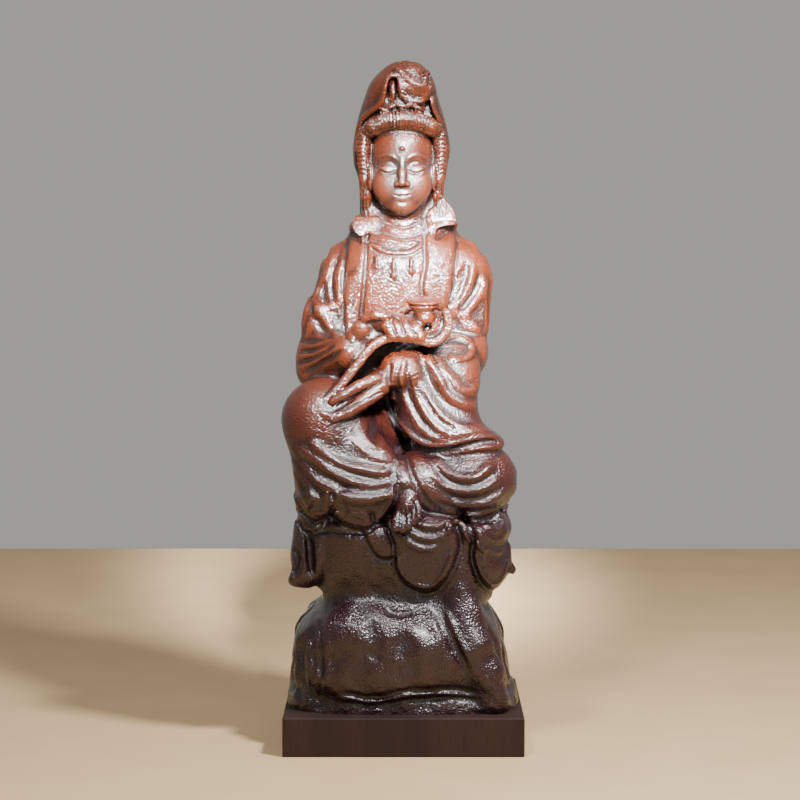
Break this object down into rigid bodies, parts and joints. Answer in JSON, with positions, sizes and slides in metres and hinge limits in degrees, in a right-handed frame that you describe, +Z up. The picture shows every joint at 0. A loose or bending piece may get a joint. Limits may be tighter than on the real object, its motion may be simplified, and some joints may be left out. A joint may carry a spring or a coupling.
{
  "type": "carved guanyin figure",
  "caption": "Hooded figure seated at ease on a rock with one knee raised, holding a ruyi sceptre, carved with its rectangular plinth from one hardwood block.",
  "frame": {"origin": "middle of the plinth's underside", "axes": "+Z up along the figure's height, -Y the way the figure faces, +X towards the figure's left hand"},
  "size_m": [0.174, 0.15, 0.5],
  "materials": {
    "rosewood": "waxed and polished on the figure, planed and matt on the plinth"
  },
  "bodies": {
    "root": {"guanyin_carving": "rosewood"}
  },
  "joints": []
}
